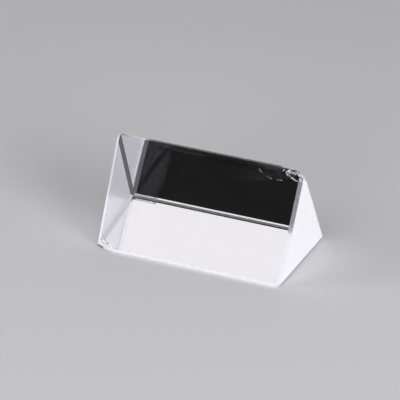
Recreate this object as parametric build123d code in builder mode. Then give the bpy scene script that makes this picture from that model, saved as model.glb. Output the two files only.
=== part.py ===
"""Equilateral glass prism, 30 x 30 x 50 mm, for refraction and dispersion work.

One solid piece of optical glass. It lies on one of its three long faces, with its
length along X and the ridge straight above the middle of the base. The -X end is ground
a little out of square and leans out at the ridge. Every edge has a narrow flat bevel,
and two corners are chipped: the ridge at its +X end, where a run of shell-shaped flakes
has come off the back face, and the front base corner at its -X end.

Frame: origin under the middle of the glass, on the base; +X along the length, +Y to the
back, +Z up.
Units are millimetres.
"""

from build123d import *
from math import cos, radians, sin, tan
import os

# Driving dimensions
FACE_WIDTH = 30.0  # each long face, edge to edge, before the bevels
LENGTH = 50.0  # end face to end face, at half the ridge's height
END_LEAN = 2.0  # the -X end leans out at the ridge by this angle
BEVEL = 0.85  # how far each bevel reaches into the two faces beside it
CORNER_ANGLE = 60.0  # between any two long faces

# The sharp triangle that the section is cut from
HALF_WIDTH = FACE_WIDTH / 2
RIDGE_HEIGHT = HALF_WIDTH * tan(radians(CORNER_ANGLE))

# The top of the leaning end face is two bevels below the sharp ridge. It stands out
# past the middle of that face, and half the overall length follows from it
LEAN_SLOPE = tan(radians(END_LEAN))
LEAN_REACH = LEAN_SLOPE * (RIDGE_HEIGHT / 2 - 2 * BEVEL)
HALF_LENGTH = (LENGTH + LEAN_REACH) / 2
LEANING_END = HALF_LENGTH - LENGTH  # X of the -X end at half the ridge's height
BASE_CORNER = LEANING_END + LEAN_SLOPE * RIDGE_HEIGHT / 2  # X of the -X end at the base
SPARE = 2.0  # glass left beyond the leaning end before it is cut

# Flakes off the back face at the ridge's +X end. Each is a scoop of a sphere:
# how far its middle is from the end and down the face, the radius of its rim on the
# face, and how deep it is in the middle
RIDGE_FLAKES = (
    (-0.1, 0.6, 2.3, 1.35),  # the corner itself
    (-0.2, 2.6, 2.4, 1.40),  # below it, through the end bevel
    (1.0, 4.1, 2.9, 0.75),  # the thin tail of that one, down the end edge
    (2.9, 1.1, 2.4, 0.78),  # beside the corner, along the ridge
    (4.6, 1.0, 1.9, 0.60),  # the last of the run along the ridge
    (3.4, 3.6, 1.9, 0.45),  # between the tail and the run
    (8.3, 3.6, 4.2, 0.12),  # a wide, very shallow shell mark
)

# Scoops out of the front base corner at the -X end: the middle of each sphere, along
# X, Y and Z from the sharp corner, and its radius
CORNER_SCOOPS = (
    (-1.8, -1.7, -5.1, 7.0),
    (2.0, -3.95, 1.85, 5.25),
)


def flake_sphere(from_end, down_face, rim, depth):
    """The middle and the radius of the sphere that cuts a flake of this rim and depth
    into the back face."""
    radius = (rim**2 + depth**2) / (2 * depth)
    slope = radians(CORNER_ANGLE)
    spot = (
        HALF_LENGTH - from_end,
        down_face * cos(slope),
        RIDGE_HEIGHT - down_face * sin(slope),
    )
    face_plane = Plane(origin=spot, x_dir=(1, 0, 0), z_dir=(0, sin(slope), cos(slope)))
    return face_plane.offset(radius - depth).origin, radius


with BuildPart() as prism:
    # The triangular section, carried from the +X end to past the other
    with BuildSketch(Plane.YZ.offset(HALF_LENGTH)) as section:
        with BuildLine() as outline:
            Polyline(
                (-HALF_WIDTH, 0),
                (HALF_WIDTH, 0),
                (0, RIDGE_HEIGHT),
                close=True,
            )
        make_face()
    extrude(amount=-(LENGTH + SPARE))

    # The end that is out of square
    end_plane = Plane(
        origin=(LEANING_END, 0, RIDGE_HEIGHT / 2),
        x_dir=(0, 1, 0),
        z_dir=(-cos(radians(END_LEAN)), 0, -sin(radians(END_LEAN))),
    )
    split(bisect_by=end_plane, keep=Keep.BOTTOM)

    # A flat bevel on every edge, the ends' edges too
    chamfer(prism.edges(), length=BEVEL)

    # The flakes off the back face
    for from_end, down_face, rim, depth in RIDGE_FLAKES:
        middle, radius = flake_sphere(from_end, down_face, rim, depth)
        with Locations(middle):
            Sphere(radius, mode=Mode.SUBTRACT)

    # The chipped base corner
    for along_x, along_y, along_z, radius in CORNER_SCOOPS:
        with Locations((along_x + BASE_CORNER, along_y - HALF_WIDTH, along_z)):
            Sphere(radius, mode=Mode.SUBTRACT)

prism.part.label = "prism"

os.makedirs("parts", exist_ok=True)
export_step(prism.part, "parts/prism.step")
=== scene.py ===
"""An equilateral glass prism lying on a pale studio floor, seen from a little above.

The body is worked out with numpy: a triangular bar with a flat bevel on every edge, cut
by rippled scoops and flat splinters where two of its corners are chipped. Lengths are in
millimetres until the finished mesh is written, and the frame's own are in metres.
"""

from math import cos, pi, radians, sin, tan

import bmesh
import bpy
import numpy as np
from mathutils import Matrix, Vector


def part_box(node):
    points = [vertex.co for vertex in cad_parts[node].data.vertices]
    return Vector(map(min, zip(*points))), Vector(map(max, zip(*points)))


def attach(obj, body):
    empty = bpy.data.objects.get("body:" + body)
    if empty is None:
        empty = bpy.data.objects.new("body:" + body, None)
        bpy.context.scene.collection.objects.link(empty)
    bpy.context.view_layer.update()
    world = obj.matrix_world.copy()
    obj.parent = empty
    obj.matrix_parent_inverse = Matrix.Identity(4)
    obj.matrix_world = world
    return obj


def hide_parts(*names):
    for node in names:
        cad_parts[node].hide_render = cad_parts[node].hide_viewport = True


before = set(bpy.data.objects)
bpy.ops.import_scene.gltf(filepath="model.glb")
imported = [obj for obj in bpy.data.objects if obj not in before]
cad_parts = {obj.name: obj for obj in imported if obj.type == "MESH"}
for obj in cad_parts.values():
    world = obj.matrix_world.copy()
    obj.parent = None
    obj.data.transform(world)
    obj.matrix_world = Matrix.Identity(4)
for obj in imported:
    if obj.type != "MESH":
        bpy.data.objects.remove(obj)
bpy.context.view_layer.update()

# ---------------------------------------------------------------- sizes, in millimetres
MM = 0.001
BEVEL = 0.85  # how far each bevel reaches into the two faces beside it
CORNER_ANGLE = radians(60)  # between any two long faces
END_LEAN = radians(2)  # the -X end leans out at the ridge by this angle
LENGTH = 50.0  # end face to end face, at half the ridge's height

high_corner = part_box("prism")[1]
HALF_LENGTH = high_corner.x / MM
FACE_WIDTH = 2 * high_corner.y / MM + BEVEL  # the sharp face that the bevels are cut from
RIDGE_HEIGHT = FACE_WIDTH * sin(CORNER_ANGLE)
LEANING_END = HALF_LENGTH - LENGTH  # X of the -X end at half the ridge's height
BASE_CORNER = LEANING_END + tan(END_LEAN) * RIDGE_HEIGHT / 2  # and at the base

# Flakes off the back face at the ridge's +X end: how far the middle is from the end and
# down the face, the radius of the rim on the face, and the depth in the middle
RIDGE_FLAKES = (
    (-0.1, 0.6, 2.3, 1.35),
    (-0.2, 2.6, 2.4, 1.40),
    (1.0, 4.1, 2.9, 0.75),
    (2.9, 1.1, 2.4, 0.78),
    (4.6, 1.0, 1.9, 0.60),
    (3.4, 3.6, 1.9, 0.45),
    (8.3, 3.6, 4.2, 0.12),
)
# Flat splinters broken out among them: how far each middle is from the end and down the
# face, its size, and how far it is tipped along the ridge and down the face, in degrees
RIDGE_SPLINTERS = (
    (4.2, 1.2, 0.95, 31, 21),
    (3.9, 2.4, 0.50, 31, 21),
    (3.2, 1.9, 0.35, 30, 20),
    (2.9, 1.3, 0.45, -4, 44),
    (2.3, 2.0, 0.50, -12, 38),
    (1.7, 2.5, 0.40, 30, 18),
    (5.8, 2.6, 0.40, 29, 20),
    (5.2, 3.1, 0.45, 27, 17),
    (4.7, 3.6, 0.50, 4, 46),
    (4.2, 4.1, 0.40, 31, 22),
    (3.8, 5.0, 0.45, 30, 22),
    (3.2, 5.5, 0.50, 28, 18),
    (2.5, 5.9, 0.35, 30, 20),
    (5.3, 0.9, 0.30, 30, 22),
    (6.2, 0.8, 0.25, 28, 20),
)
# Specks of the same kind on the rim of the last flake, a shell mark: where each is, in
# degrees from the way along the ridge to the -X end, and the size and tips of them all
RIM_SPECKS = (12, 19, 27, 52, 61, 70, 96, 104, 111, 246, 258, 270)
RIM_SPECK = (0.19, 30, 21)
# Scoops out of the front base corner at the -X end: the middle of each sphere from the
# sharp corner along X, Y and Z, and its radius
CORNER_SCOOPS = (
    (-1.8, -1.7, -5.1, 7.0),
    (2.0, -3.95, 1.85, 5.25),
)
CORNER_SCOOPS_TOWARDS = (0.45, 0.75, 0.42)  # into the glass
CORNER_SCOOPS_REACH = radians(80)  # how far round each ball the cut goes
# Two flecks broken out of them: the middle from the same corner, the size, and the way
# each faces
CORNER_FLECKS = (
    (1.45, 1.38, 1.35, 0.26, (0.64, -0.21, 0.74)),
    (1.98, 1.42, 1.12, 0.20, (0.65, -0.29, 0.71)),
)
# A shell-like break
RIPPLE_SPACING = 0.55
RIPPLE_HEIGHT = 0.011
RIPPLE_UNEVEN = 0.4  # how much the swells strengthen and weaken the ripples
SWELL_RATES = (2.1, 1.7)  # of the slow swells along X and Z, in radians to the millimetre
SWELL_HEIGHT = 2.5  # of each swell, in ripple heights
RIM_WAVES = ((2, 0.04), (3, 0.03), (7, 0.015))  # how many go round, and how large
SCOOP_STEPS = 56  # from the pole to the rim, and twice as many go round
# The tool that breaks out a splinter
SPLINTER_FLARE = 3  # how many times as wide as the flat its far side is
SPLINTER_LENGTH = 4  # in sizes of the splinter


# ---------------------------------------------------------------- planes of the glass
def unit(vector):
    """The vector or vectors, each cut to length 1."""
    return vector / np.linalg.norm(vector, axis=-1, keepdims=True)


def bevel_plane(first, second):
    """The flat that takes the edge off two planes, reaching one bevel into each. It
    faces halfway between them, and lies below their edge by the bevel times the cosine
    of half the angle inside the glass."""
    both = first[:3] + second[:3]
    length = np.linalg.norm(both)
    below = BEVEL * np.sqrt(1 - length**2 / 4)
    return np.append(both / length, (first[3] + second[3]) / length - below)


def plane_through(point, way):
    """The plane through a point that faces this way."""
    return np.append(way, way @ point)


def square_to(axis, askew):
    """Two ways at right angles to an axis and to each other. The first is at right
    angles to the askew way as well, which may be any that is not along the axis."""
    side = unit(np.cross(axis, askew))
    return side, np.cross(axis, side)


# A plane is its outward X, Y, Z and how far it lies from the origin that way
FACES = {
    "back": np.array((0, sin(CORNER_ANGLE), cos(CORNER_ANGLE), RIDGE_HEIGHT / 2)),
    "front": np.array((0, -sin(CORNER_ANGLE), cos(CORNER_ANGLE), RIDGE_HEIGHT / 2)),
    "base": np.array((0.0, 0.0, -1.0, 0.0)),
}
LEANING_WAY = np.array((-cos(END_LEAN), 0, -sin(END_LEAN)))
ENDS = {
    "left": plane_through(np.array((LEANING_END, 0, RIDGE_HEIGHT / 2)), LEANING_WAY),
    "right": np.array((1.0, 0.0, 0.0, HALF_LENGTH)),
}
EDGES = (("front", "base"), ("base", "back"), ("back", "front"))
BEVELS = {edge: bevel_plane(FACES[edge[0]], FACES[edge[1]]) for edge in EDGES}
BEVELS.update(
    {(end, face): bevel_plane(ENDS[end], FACES[face]) for end in ENDS for face in FACES}
)

# The back edge of the base was honed a little steeper than halfway. Its flat is turned
# about the line along its own middle
HONED_STEEPER = radians(5)
halfway = BEVELS["base", "back"][:3]
flat_middle = np.array((0, FACE_WIDTH / 2, 0)) - halfway * BEVEL * cos(CORNER_ANGLE / 2)
steeper = np.array(Matrix.Rotation(HONED_STEEPER, 3, "X") @ Vector(halfway))
BEVELS["base", "back"] = plane_through(flat_middle, steeper)

# A flat ground on the pointed corner of the ridge at its -X end. It faces outwards and
# up, and lies a little below the front corner of the ridge's own flat
BLUNTED_WAY = unit(np.array((-0.74, -0.20, 0.64)))
BLUNTED_BELOW = 0.16
RIDGE_CORNER = np.array(
    (BEVEL - HALF_LENGTH, -BEVEL / 2, RIDGE_HEIGHT - BEVEL * sin(CORNER_ANGLE))
)
BLUNTED = plane_through(RIDGE_CORNER - BLUNTED_WAY * BLUNTED_BELOW, BLUNTED_WAY)


# ---------------------------------------------------------------- meshes
MOSTLY_BACK = (0.31, 0.93, 0.2)
MOSTLY_UP = (0.31, 0.13, 0.94)
DOWN_BACK_FACE = np.array((0, cos(CORNER_ANGLE), -sin(CORNER_ANGLE)))


def mesh_of(name, points, faces):
    """A mesh object of these points and faces, with its faces turned outwards."""
    mesh = bpy.data.meshes.new(name)
    mesh.from_pydata(points.tolist(), [], faces)
    shell = bmesh.new()
    shell.from_mesh(mesh)
    bmesh.ops.recalc_face_normals(shell, faces=shell.faces)
    shell.to_mesh(mesh)
    shell.free()
    piece = bpy.data.objects.new(name, mesh)
    bpy.context.scene.collection.objects.link(piece)
    return piece


def bevelled_bar():
    """The blank: a triangular bar with a flat bevel on every edge.

    Each point is where three planes meet. At each end of each long edge there are four:
    on the end face and its two bevels, on the long bevel and those two, and on each of
    the two long faces with its end bevel and the long bevel.
    """
    meeting = []
    for end, end_face in ENDS.items():
        for one, other in EDGES:
            long_bevel = BEVELS[one, other]
            end_one, end_other = BEVELS[end, one], BEVELS[end, other]
            meeting += [
                (end_face, end_one, end_other),
                (long_bevel, end_one, end_other),
                (FACES[one], end_one, long_bevel),
                (FACES[other], end_other, long_bevel),
            ]
    planes = np.array(meeting)
    points = np.linalg.solve(planes[:, :, :3], planes[:, :, 3:])[..., 0]

    def at(end, edge, kind):
        return (end * 3 + edge % 3) * 4 + kind

    on_end, meet, on_one, on_other = range(4)
    faces = [[at(end, k, on_end) for k in range(3)] for end in (0, 1)]
    for k in range(3):
        faces.append(
            [at(0, k, on_other), at(0, k + 1, on_one), at(1, k + 1, on_one), at(1, k, on_other)]
        )
        faces.append(
            [at(0, k, kind) for kind in (on_one, meet, on_other)]
            + [at(1, k, kind) for kind in (on_other, meet, on_one)]
        )
        for end in (0, 1):
            faces.append(
                [at(end, k, kind) for kind in (on_end, meet, on_other)]
                + [at(end, k + 1, kind) for kind in (on_one, meet, on_end)]
            )
    return mesh_of("prism_glass", points, faces)


def scoop(middle, towards, radius, reach, impact, draws):
    """A closed tool that cuts one flake: part of a ball about its middle, from its pole
    out to an angle, and drawn in to the middle again.

    t runs from the pole to the rim and turn goes round it. The angle off the axis is
    t times the reach, times 1 plus three small waves round the rim. The distance from
    the middle is the radius plus a ripple: a sine of the distance from the point of
    impact over the ripple spacing, with two slower swells that break it up.
    """
    turns = 2 * SCOOP_STEPS
    t = np.linspace(0, 1, SCOOP_STEPS)[1:, None]
    turn = np.linspace(0, 2 * pi, turns, endpoint=False)[None, :]
    axis = unit(np.array(towards, float))
    side, other = square_to(axis, MOSTLY_BACK)
    waves = sum(
        size * np.sin(count * turn + draws.uniform(0, 2 * pi)) for count, size in RIM_WAVES
    )
    off_axis = t * reach * (1 + waves)
    ways = (
        np.cos(off_axis)[..., None] * axis
        + (np.sin(off_axis) * np.cos(turn))[..., None] * side
        + (np.sin(off_axis) * np.sin(turn))[..., None] * other
    )
    ways = np.concatenate((axis[None, :], ways.reshape(-1, 3)))
    spots = middle + ways * radius
    from_impact = np.linalg.norm(spots - impact, axis=1)
    start = draws.uniform(0, 2 * pi, 3)
    ripple = np.sin(2 * pi * from_impact / RIPPLE_SPACING + start[0])
    along_x, along_z = SWELL_RATES
    swell = np.sin(along_x * spots[:, 0] + start[1]) + np.sin(along_z * spots[:, 2] + start[2])
    ripple = RIPPLE_HEIGHT * (ripple * (1 + RIPPLE_UNEVEN * swell) + SWELL_HEIGHT * swell)
    points = np.concatenate((middle + ways * (radius + ripple)[:, None], [middle]))

    ring = np.arange(SCOOP_STEPS - 1)[:, None] * turns + 1
    here = np.arange(turns)[None, :]
    there = (here + 1) % turns
    quads = np.stack(
        (ring[:-1] + here, ring[1:] + here, ring[1:] + there, ring[:-1] + there), axis=-1
    ).reshape(-1, 4)
    pole = np.stack((np.zeros(turns, int), 1 + here[0], 1 + there[0]), axis=-1)
    last = ring[-1] + here[0]
    back = np.stack((last, np.full(turns, len(points) - 1), np.roll(last, -1)), axis=-1)
    faces = quads.tolist() + pole.tolist() + back.tolist()
    return mesh_of("flake_tool", points, faces)


def four_sided_block(name, near, far):
    """A closed block between two rings of four points."""
    walls = [[k, (k + 1) % 4, (k + 1) % 4 + 4, k + 4] for k in range(4)]
    return mesh_of(name, np.concatenate((near, far)), [[0, 1, 2, 3], [4, 5, 6, 7], *walls])


def splinter(middle, facing, size, draws):
    """A closed tool that breaks out one flat splinter. Its near side is the flat: four
    points about the middle, square to the way it faces, each a quarter more or less than
    the size away and up to a quarter step round. Its far side is the same ring, flared
    and carried outwards."""
    turn = (np.arange(4) + draws.uniform(-0.25, 0.25, 4)) * pi / 2
    out = size * draws.uniform(0.75, 1.25, 4)
    facing = unit(np.array(facing, float))
    side, other = square_to(facing, MOSTLY_UP)
    ring = (out * np.cos(turn))[:, None] * side + (out * np.sin(turn))[:, None] * other
    carried = middle + SPLINTER_LENGTH * size * facing
    return four_sided_block("splinter_tool", middle + ring, carried + SPLINTER_FLARE * ring)


def on_back_face(from_end, down_face):
    """The spot on the back face this far from the +X end and from the sharp ridge."""
    return np.array((HALF_LENGTH - from_end, 0, RIDGE_HEIGHT)) + DOWN_BACK_FACE * down_face


def flake_radius(rim, depth):
    """The ball that cuts a flake: (rim squared + depth squared) over twice the depth."""
    return (rim**2 + depth**2) / (2 * depth)


def flaked_depth(from_end, down_face):
    """How deep the flakes are at a spot on the back face: the deepest of them. Each is
    the root of (radius squared less distance squared), less (radius less depth)."""
    flakes = np.array(RIDGE_FLAKES)
    away = np.hypot(flakes[:, 0] - from_end, flakes[:, 1] - down_face)
    radius = flake_radius(flakes[:, 2], flakes[:, 3])
    depths = np.sqrt(np.maximum(radius**2 - away**2, 0)) - (radius - flakes[:, 3])
    return max(depths.max(), 0.0)


def ridge_tools(draws):
    """The scoops and splinters that break the back face at the ridge's +X end. A flake's
    ball stands off the face by its radius less its depth. A splinter lies as deep as the
    flakes are there."""
    outward = FACES["back"][:3]
    along = np.array((1.0, 0, 0))
    impact = on_back_face(0, 0)
    tools = []
    for from_end, down_face, rim, depth in RIDGE_FLAKES:
        radius = flake_radius(rim, depth)
        middle = on_back_face(from_end, down_face) + outward * (radius - depth)
        reach = np.arctan2(rim, radius - depth)
        tools.append(scoop(middle, -outward, radius, reach, impact, draws))
    shell_end, shell_down, shell_rim, _ = RIDGE_FLAKES[-1]
    specks = [
        (shell_end + shell_rim * cos(turn), shell_down + shell_rim * sin(turn), *RIM_SPECK)
        for turn in np.radians(RIM_SPECKS)
    ]
    for from_end, down_face, size, *tips in (*RIDGE_SPLINTERS, *specks):
        tip_along, tip_down = (tan(radians(tip)) for tip in tips)
        facing = outward + along * tip_along + DOWN_BACK_FACE * tip_down
        sunk = flaked_depth(from_end, down_face)
        spot = on_back_face(from_end, down_face) - outward * sunk
        tools.append(splinter(spot, facing, size, draws))
    return tools


def base_tools(draws):
    """The scoops and flecks that break the front base corner at the -X end."""
    corner = np.array((BASE_CORNER, -FACE_WIDTH / 2, 0))
    tools = []
    for *place, radius in CORNER_SCOOPS:
        towards, reach = CORNER_SCOOPS_TOWARDS, CORNER_SCOOPS_REACH
        tools.append(scoop(corner + place, towards, radius, reach, corner, draws))
    for *place, size, facing in CORNER_FLECKS:
        tools.append(splinter(corner + place, facing, size, draws))
    return tools


def blunting_tool():
    """A closed square block, 3 mm deep and 6 mm wide, on the outer side of the plane
    that blunts the ridge's -X end."""
    side, other = square_to(BLUNTED_WAY, MOSTLY_BACK)
    square = 3 * np.array((side + other, other - side, -side - other, side - other))
    near = RIDGE_CORNER - BLUNTED_WAY * BLUNTED_BELOW + square
    return four_sided_block("blunting_tool", near, near + 3 * BLUNTED_WAY)


def cut(piece, tools):
    """Takes the tools away from the piece and leaves the result as its mesh."""
    for tool in tools:
        step = piece.modifiers.new(tool.name, "BOOLEAN")
        step.operation = "DIFFERENCE"
        step.solver = "EXACT"
        step.object = tool
    bpy.context.view_layer.update()
    depsgraph = bpy.context.evaluated_depsgraph_get()
    mesh = bpy.data.meshes.new_from_object(piece.evaluated_get(depsgraph))
    piece.modifiers.clear()
    piece.data = mesh
    for tool in tools:
        bpy.data.objects.remove(tool)


ON_PLANE = 0.002  # how far off a plane the middle of a face that lies on it may be
FACING_ALIKE = 0.9995  # the least cosine between the ways that the two face
SHARP_ANGLE = radians(24)  # where faces meet at more than this, the edge stays sharp


def finish_the_surfaces(piece, finishes, broken):
    """Gives each face the finish of the plane that it lies on. What lies on none of them
    is broken glass, and only that is smoothed. Then the mesh goes from mm to metres."""
    mesh = piece.data
    count = len(mesh.polygons)
    ways = np.zeros(count * 3)
    centres = np.zeros(count * 3)
    mesh.polygons.foreach_get("normal", ways)
    mesh.polygons.foreach_get("center", centres)
    ways = ways.reshape(-1, 3)
    centres = centres.reshape(-1, 3)
    slots = np.full(count, len(finishes))
    mesh.materials.clear()
    for slot, (material, planes) in enumerate(finishes):
        mesh.materials.append(material)
        for plane in planes:
            level = np.abs(centres @ plane[:3] - plane[3]) < ON_PLANE
            slots[level & (ways @ plane[:3] > FACING_ALIKE)] = slot
    mesh.materials.append(broken)
    mesh.polygons.foreach_set("material_index", slots.astype(np.int32))
    mesh.polygons.foreach_set("use_smooth", slots == len(finishes))
    mesh.set_sharp_from_angle(angle=SHARP_ANGLE)
    points = np.zeros(len(mesh.vertices) * 3)
    mesh.vertices.foreach_get("co", points)
    mesh.vertices.foreach_set("co", points * MM)
    mesh.update()


# ---------------------------------------------------------------- materials
CROWN_GLASS_IOR = 1.5168


def colour(hex_code):
    """An sRGB hex colour as linear red, green, blue and 1."""
    parts = [int(hex_code[i : i + 2], 16) / 255 for i in (1, 3, 5)]
    return [p / 12.92 if p <= 0.04045 else ((p + 0.055) / 1.055) ** 2.4 for p in parts] + [1]


def node(tree, kind, values=None):
    """Adds a node. values gives its properties and its sockets, by name or by number. A
    socket is given a plain value, or the output that feeds it. A node in place of an
    output stands for its first one."""
    new = tree.nodes.new(kind)
    for key, value in (values or {}).items():
        if isinstance(value, bpy.types.Node):
            value = value.outputs[0]
        if isinstance(value, bpy.types.NodeSocket):
            tree.links.new(value, new.inputs[key])
        elif isinstance(key, str) and hasattr(new, key):
            setattr(new, key, value)
        else:
            new.inputs[key].default_value = value
    return new


def new_material(name):
    """An empty node material, its tree, and the Object coordinates in it."""
    material = bpy.data.materials.new(name)
    material.use_nodes = True
    tree = material.node_tree
    tree.nodes.clear()
    place = node(tree, "ShaderNodeTexCoord").outputs["Object"]
    return material, tree, place


def clear_glass(tree, roughness):
    """Crown glass of this roughness, with nothing on it."""
    return node(
        tree,
        "ShaderNodeBsdfPrincipled",
        {
            "Base Color": colour("#FFFFFF"),
            "Roughness": roughness,
            "IOR": CROWN_GLASS_IOR,
            "Transmission Weight": 1.0,
        },
    )


def torn_skin(tree, glass, share_outside, share_inside, bump=None, skin_colour="#F5F4F8"):
    """A share of the surface scatters light where grit has torn it. Seen from outside
    it is white, and seen through the glass it lets in the light that falls on it. Each
    share is a number or a node."""
    relief = {} if bump is None else {"Normal": bump}
    white = node(tree, "ShaderNodeBsdfDiffuse", {"Color": colour(skin_colour), **relief})
    lit = node(tree, "ShaderNodeBsdfTranslucent", {"Color": colour("#EDEBF4"), **relief})
    outside = node(tree, "ShaderNodeMixShader", {0: share_outside, 1: glass, 2: white})
    inside = node(tree, "ShaderNodeMixShader", {0: share_inside, 1: glass, 2: lit})
    side = node(tree, "ShaderNodeNewGeometry").outputs["Backfacing"]
    surface = node(tree, "ShaderNodeMixShader", {0: side, 1: outside, 2: inside})
    node(tree, "ShaderNodeOutputMaterial", {"Surface": surface})


def grain(tree, place, size, low, high):
    """Noise with features of this size in millimetres, brought to run from low to high."""
    settings = {"Scale": 1 / (size * MM), "Detail": 3.0, "Vector": place}
    noise = node(tree, "ShaderNodeTexNoise", settings)
    ramp = {"From Min": 0.3, "From Max": 0.7, "To Min": low, "To Max": high}
    return node(tree, "ShaderNodeMapRange", {"Value": noise, **ramp})


def grit_marks(tree, place, size, depth):
    """The bump of a ground surface: noise as fine as size, raised by depth, in mm."""
    height = grain(tree, place, size, 0.0, 1.0)
    settings = {"Strength": 1.0, "Distance": depth * MM, "Height": height}
    return node(tree, "ShaderNodeBump", settings)


def polished_crown_glass():
    """Crown glass, pitch polished: clear and mirror smooth, with a little dust and the
    faint streaks of a wiping cloth. The specks are 0.15 mm, coarser than real dust."""
    material, tree, place = new_material("polished_crown_glass")
    cells = node(tree, "ShaderNodeTexVoronoi", {"Scale": 1 / (1.2 * MM), "Vector": place})
    fade = {"From Min": 0.04, "From Max": 0.08, "To Min": 0.05, "To Max": 0.0}
    specks = node(tree, "ShaderNodeMapRange", {"Value": cells.outputs["Distance"], **fade})
    along = node(tree, "ShaderNodeMapping", {"Scale": (0.08, 1, 1), "Vector": place})
    streaks = grain(tree, along, 0.6, 0.0, 0.003)
    share = node(tree, "ShaderNodeMath", {"operation": "ADD", 0: specks, 1: streaks})
    torn_skin(tree, clear_glass(tree, 0.0), share, share)
    return material


def ground_end():
    """An end fine-ground with loose grit and left so: white from outside, and from
    inside half a dull mirror. The pits are drawn 0.15 mm wide, for 0.03 mm ones."""
    material, tree, place = new_material("ground_end")
    bump = grit_marks(tree, place, 0.15, 0.004)
    outside = grain(tree, place, 0.8, 0.84, 0.94)
    inside = grain(tree, place, 0.8, 0.56, 0.64)
    torn_skin(tree, clear_glass(tree, 0.28), outside, inside, bump)
    return material


STONE_PITS = 0.2  # the width a coarse stone's pits are drawn, for 0.05 mm ones


def ground_bevel(name, low, high, inside):
    """A bevel taken off with a coarse stone: white, and a little crumbly. The share of
    its surface that is torn runs from low to high, and seen from inside it is one value."""
    material, tree, place = new_material(name)
    bump = grit_marks(tree, place, STONE_PITS, 0.002)
    share = grain(tree, place, 0.6, low, high)
    torn_skin(tree, clear_glass(tree, 0.3), share, inside, bump)
    return material


def bevel_painted_grey():
    """The bevel at the front of the +X end, taken off with a coarse stone: its torn share is
    high up to 4 mm above the base and falls from there to 14 mm. Its skin is painted grey,
    painted shade that draws it darker than the white of the other ground faces."""
    material, tree, place = new_material("bevel_painted_grey")
    height = node(tree, "ShaderNodeSeparateXYZ", {0: place}).outputs["Z"]
    fade = {"From Min": 4 * MM, "From Max": 14 * MM, "To Min": 0.80, "To Max": 0.30}
    share = node(tree, "ShaderNodeMapRange", {"Value": height, **fade})
    bump = grit_marks(tree, place, STONE_PITS, 0.004)
    # The grey skin colour is painted shade, darker than the white of the other ground faces
    torn_skin(tree, clear_glass(tree, 0.15), share, share, bump, "#C6C6CC")
    return material


def honed_bevel(name, roughness, share):
    """A bevel honed with a fine stone until it is nearly clear. What is seen through it
    is blurred by its roughness, and a share of it is still white."""
    material, tree, _ = new_material(name)
    torn_skin(tree, clear_glass(tree, roughness), share, share)
    return material


def fractured_glass():
    """Broken glass, never worked: as clear as the polished faces, with hardly any dust.
    Its ripples are in the mesh."""
    material, tree, _ = new_material("fractured_glass")
    torn_skin(tree, clear_glass(tree, 0.0), 0.006, 0.006)
    return material


def floor_paint():
    """A plain matt paint, a pale grey."""
    material, tree, _ = new_material("pale_floor")
    paint = node(
        tree,
        "ShaderNodeBsdfPrincipled",
        {"Base Color": colour("#C6C6C8"), "Roughness": 0.9, "Specular IOR Level": 0.1},
    )
    node(tree, "ShaderNodeOutputMaterial", {"Surface": paint})
    return material


# ---------------------------------------------------------------- the studio
def lay_floor():
    """A flat floor 6 m across, 0.02 mm below the glass."""
    half, height = 3.0, -2e-5
    around = ((-half, -half), (half, -half), (half, half), (-half, half))
    corners = np.array([(x, y, height) for x, y in around])
    floor = mesh_of("floor", corners, [[0, 1, 2, 3]])
    floor.data.materials.append(floor_paint())


# What the glass sees: cards in a dim room. Each is the way to its middle, the cosines at
# which it starts and at which it is full, and how much light it adds
ROOM_LEVEL = 0.09
CARDS = (
    ((-0.10, 0.90, 0.42), 0.30, 0.76, 0.90),
    ((0.25, -0.80, 0.54), 0.800, 0.808, 0.03),
    ((-0.36, -0.45, 0.82), 0.91, 0.95, 0.90),
)
SEEN_BY_CAMERA = 0.75
FILL_LEVEL = 0.05


def set_world():
    """Bright cards behind and above the glass and a dim one in front, in a dim room. Only
    the glass sees them: the camera sees a plain backdrop, and the floor a weak fill.

    A card's light rises smoothly while the cosine between the way and the card's middle
    goes from its start to its full value. The room's level and the cards are added up."""
    world = bpy.data.worlds.new("studio")
    world.use_nodes = True
    tree = world.node_tree
    tree.nodes.clear()
    way = node(tree, "ShaderNodeTexCoord").outputs["Generated"]
    level = ROOM_LEVEL
    for middle, start, full, light in CARDS:
        aim = unit(np.array(middle)).tolist()
        near = node(tree, "ShaderNodeVectorMath", {"operation": "DOT_PRODUCT", 0: way, 1: aim})
        rise = {"From Min": start, "From Max": full, "To Min": 0.0, "To Max": light}
        rise.update({"Value": near.outputs["Value"], "interpolation_type": "SMOOTHSTEP"})
        card = node(tree, "ShaderNodeMapRange", rise)
        level = node(tree, "ShaderNodeMath", {"operation": "ADD", 0: card, 1: level})
    rays = node(tree, "ShaderNodeLightPath").outputs
    either = {0: rays["Is Glossy Ray"], 1: rays["Is Transmission Ray"]}
    in_glass = node(tree, "ShaderNodeMath", {"operation": "MAXIMUM", **either})
    fill, cards, plain = (
        node(tree, "ShaderNodeBackground", {"Color": colour(hue), "Strength": strength})
        for hue, strength in (
            ("#F6F6F8", FILL_LEVEL),
            ("#F5F3F8", level),
            ("#F2F2F4", SEEN_BY_CAMERA),
        )
    )
    lights = node(tree, "ShaderNodeMixShader", {0: in_glass, 1: fill, 2: cards})
    seen = node(tree, "ShaderNodeMixShader", {0: rays["Is Camera Ray"], 1: lights, 2: plain})
    node(tree, "ShaderNodeOutputWorld", {"Surface": seen})
    bpy.context.scene.world = world


# The lamps: azimuth from the front and elevation in degrees, distance and size in metres,
# and power in watts. The side ones stand low, to light the ends more than the floor
SOFTBOXES = (
    ("right_light", 60, 18, 1.2, 0.6, 12.6),
    ("left_light", -64, 12, 1.2, 0.5, 8.6),
    ("front_light", -5, 14, 1.4, 0.6, 6.5),
    ("top_light", 25, 62, 1.2, 0.7, 8.2),
)


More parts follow.
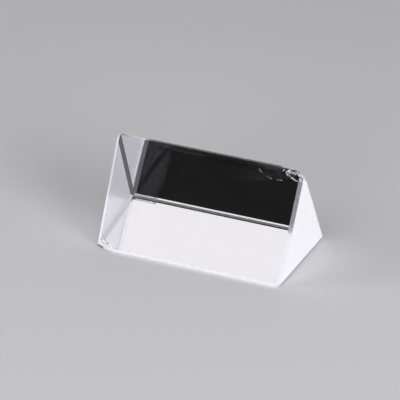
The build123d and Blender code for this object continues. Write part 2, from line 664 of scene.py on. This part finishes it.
def softbox(name, azimuth, elevation, distance, size, power):
    """A square soft lamp, turned to the origin. It lights what scatters light, and is
    not seen in the glass or through it."""
    lamp = bpy.data.lights.new(name, "AREA")
    lamp.shape = "SQUARE"
    lamp.size = size
    lamp.energy = power
    lamp.color = colour("#F9F9FB")[:3]
    stand = bpy.data.objects.new(name, lamp)
    bpy.context.scene.collection.objects.link(stand)
    a, e = radians(azimuth), radians(elevation)
    way = Vector((sin(a) * cos(e), -cos(a) * cos(e), sin(e)))
    stand.location = way * distance
    stand.rotation_euler = way.to_track_quat("Z", "Y").to_euler()
    stand.visible_glossy = False
    stand.visible_transmission = False


# The camera: its angles in degrees, and the rest in millimetres
CAMERA_AZIMUTH = 23.81
CAMERA_ELEVATION = 27.09
CAMERA_ROLL = 0.53
CAMERA_DISTANCE = 700.0
AIM = (-2.530, -0.864)  # where the lens points, right and up of the glass's middle
FOCAL_LENGTH = 253.7
SENSOR = 36.0


def set_camera():
    """A long lens, a little above the glass and to its right."""
    a, e, roll = (radians(v) for v in (CAMERA_AZIMUTH, CAMERA_ELEVATION, CAMERA_ROLL))
    back = Vector((sin(a) * cos(e), -cos(a) * cos(e), sin(e)))
    right = Vector((cos(a), sin(a), 0))
    up = back.cross(right)
    right, up = right * cos(roll) + up * sin(roll), up * cos(roll) - right * sin(roll)
    middle = Vector((HALF_LENGTH - LENGTH / 2, 0, RIDGE_HEIGHT / 2))
    place = middle + right * AIM[0] + up * AIM[1] + back * CAMERA_DISTANCE
    lens = bpy.data.cameras.new("camera")
    lens.lens = FOCAL_LENGTH
    lens.sensor_width = SENSOR
    lens.clip_start = 0.01
    stand = bpy.data.objects.new("camera", lens)
    bpy.context.scene.collection.objects.link(stand)
    turn = Matrix((right, up, back)).transposed().to_4x4()
    turn.translation = place * MM
    stand.matrix_world = turn
    bpy.context.scene.camera = stand


# ---------------------------------------------------------------- make everything
draws = np.random.default_rng(7)
prism = bevelled_bar()
cut(prism, [*ridge_tools(draws), *base_tools(draws), blunting_tool()])
finishes = (
    (polished_crown_glass(), FACES.values()),
    (ground_end(), ENDS.values()),
    (
        ground_bevel("ground_bevel", 0.84, 0.90, 0.86),
        (BEVELS["right", "base"], BEVELS["front", "base"]),
    ),
    (
        ground_bevel("lightly_ground_bevel", 0.60, 0.72, 0.25),
        (BEVELS["left", "front"], BLUNTED),
    ),
    (bevel_painted_grey(), (BEVELS["right", "front"],)),
    (
        honed_bevel("honed_end_bevel", 0.10, 0.17),
        (BEVELS["left", "back"], BEVELS["right", "back"]),
    ),
    (honed_bevel("honed_low_bevel", 0.05, 0.04), (BEVELS["left", "base"],)),
    (
        honed_bevel("honed_long_bevel", 0.0, 0.01),
        (BEVELS["back", "front"], BEVELS["base", "back"]),
    ),
)
finish_the_surfaces(prism, finishes, fractured_glass())
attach(prism, "root")
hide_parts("prism")

lay_floor()
set_world()
for setting in SOFTBOXES:
    softbox(*setting)
set_camera()

scene = bpy.context.scene
scene.view_settings.view_transform = "Standard"
scene.cycles.caustics_refractive = False
scene.cycles.caustics_reflective = False
scene.cycles.max_bounces = 24
scene.cycles.transmission_bounces = 24
scene.cycles.glossy_bounces = 12
